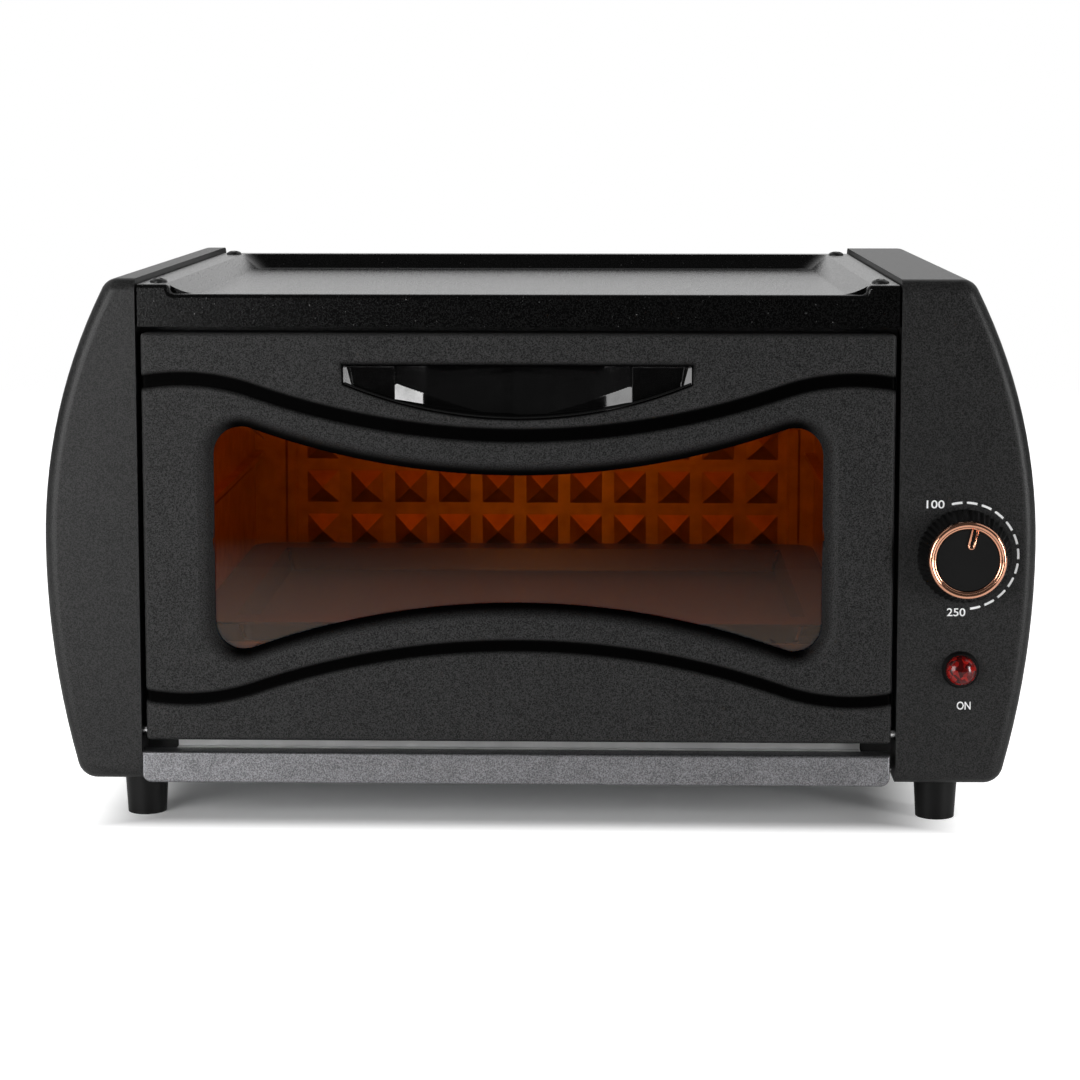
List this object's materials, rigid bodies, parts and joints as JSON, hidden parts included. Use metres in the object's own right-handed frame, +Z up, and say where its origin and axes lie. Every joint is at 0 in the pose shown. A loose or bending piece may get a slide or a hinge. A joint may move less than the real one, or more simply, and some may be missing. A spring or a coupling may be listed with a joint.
{
  "type": "electric tandoor oven",
  "caption": "Countertop electric oven with bulged black side panels, drop-down glass door with pressed waves, recessed grip, dial, pilot lamp and pull-out crumb tray.",
  "frame": {"origin": "middle of the footprint on the table", "axes": "+X to the object's right seen from the front, -Y out of the door, +Z up"},
  "size_m": [0.39, 0.2764, 0.2172],
  "materials": {
    "panel_black": "matte black powder coat with a fine grain",
    "door_black": "matte black powder coat with a fine grain",
    "cover_black": "semi-gloss black coat, lightly speckled",
    "screw_black": "black oxide",
    "galvanised": "galvanised sheet",
    "foot_plastic": "moulded black plastic",
    "amber_glass": "clear tempered glass with an amber tint",
    "silicone": "black silicone",
    "handle_gloss": "polished black plastic",
    "bright_steel": "bright drawn steel",
    "tray_enamel": "black enamel",
    "strip_silver": "satin silver-grey",
    "element_sheath": "heat-darkened metal sheath",
    "ceramic_white": "glazed off-white ceramic",
    "tab_brass": "stamped brass",
    "knob_black": "fine matte black plastic",
    "knob_copper": "polished copper-coloured plating",
    "lens_red": "clear red lens",
    "lead_sleeve": "heat-proof sleeve"
  },
  "bodies": {
    "casing": {"left_side_panel": "panel_black", "right_side_panel": "panel_black", "top_cover": "cover_black", "cover_screws": "screw_black", "left_cover_bracket": "galvanised", "right_cover_bracket": "galvanised", "rear_panel": "galvanised", "rear_panel_screws": "screw_black", "base_plate": "galvanised", "front_left_foot": "foot_plastic", "rear_left_foot": "foot_plastic", "front_right_foot": "foot_plastic", "rear_right_foot": "foot_plastic", "foot_screws": "screw_black", "chamber_left_wall": "galvanised", "chamber_right_wall": "galvanised", "chamber_back_wall": "galvanised", "chamber_ceiling": "galvanised", "front_top_rail": "galvanised", "front_sill": "galvanised", "left_hinge_bracket": "galvanised", "right_hinge_bracket": "galvanised", "hinge_bracket_rivets": "galvanised", "left_door_spring": "bright_steel", "right_door_spring": "bright_steel", "lower_front_element": "element_sheath", "lower_rear_element": "element_sheath", "upper_front_element": "element_sheath", "upper_rear_element": "element_sheath", "element_insulators": "ceramic_white", "element_terminals": "tab_brass", "thermostat_body": "ceramic_white", "thermostat_nut": "galvanised", "indicator_bezel": "knob_black", "indicator_lens": "lens_red", "indicator_body": "knob_black", "indicator_terminals": "tab_brass", "cord_gland": "knob_black", "terminal_block": "ceramic_white", "thermostat_lead": "lead_sleeve", "lamp_lead": "lead_sleeve"},
    "door": {"door_outer_panel": "door_black", "door_glass": "amber_glass", "door_glass_seal": "silicone", "glass_retainers": "galvanised", "glass_retainer_studs": "galvanised", "door_inner_frame": "galvanised", "door_handle": "handle_gloss", "left_hinge_block": "galvanised", "left_hinge_pin": "bright_steel", "right_hinge_block": "galvanised", "right_hinge_pin": "bright_steel"},
    "knob": {"knob_skirt": "knob_black", "knob_ring": "knob_copper", "knob_cap": "knob_black", "knob_pointer": "knob_copper", "thermostat_shaft": "bright_steel"},
    "crumb_tray": {"crumb_tray_pan": "galvanised", "crumb_tray_front": "strip_silver"},
    "baking_tray": {"baking_tray": "tray_enamel"}
  },
  "joints": [
    {"name": "door_hinge", "type": "hinge", "parent": "casing", "child": "door", "pos_m": [-0.00815, -0.12025, 0.0375], "axis": [1, 0, 0], "range_deg": [0, 90], "stiffness_Nm_per_rad": 0.2, "springref_deg": -34.38, "deforming": ["left_door_spring", "right_door_spring"]},
    {"name": "baking_tray_slide", "type": "slide", "parent": "casing", "child": "baking_tray", "axis": [0, -1, 0], "range_m": [0, 0.064]},
    {"name": "crumb_tray_slide", "type": "slide", "parent": "casing", "child": "crumb_tray", "axis": [0, -1, 0], "range_m": [0, 0.2]},
    {"name": "dial_turn", "type": "hinge", "parent": "casing", "child": "knob", "pos_m": [0.1665, -0.12575, 0.1094], "axis": [0, 1, 0], "range_deg": [-41.3, 176.6]}
  ],
  "couplings": [
    {"joint": "baking_tray_slide", "follows": "door_hinge", "m_per_rad": 0.04}
  ]
}
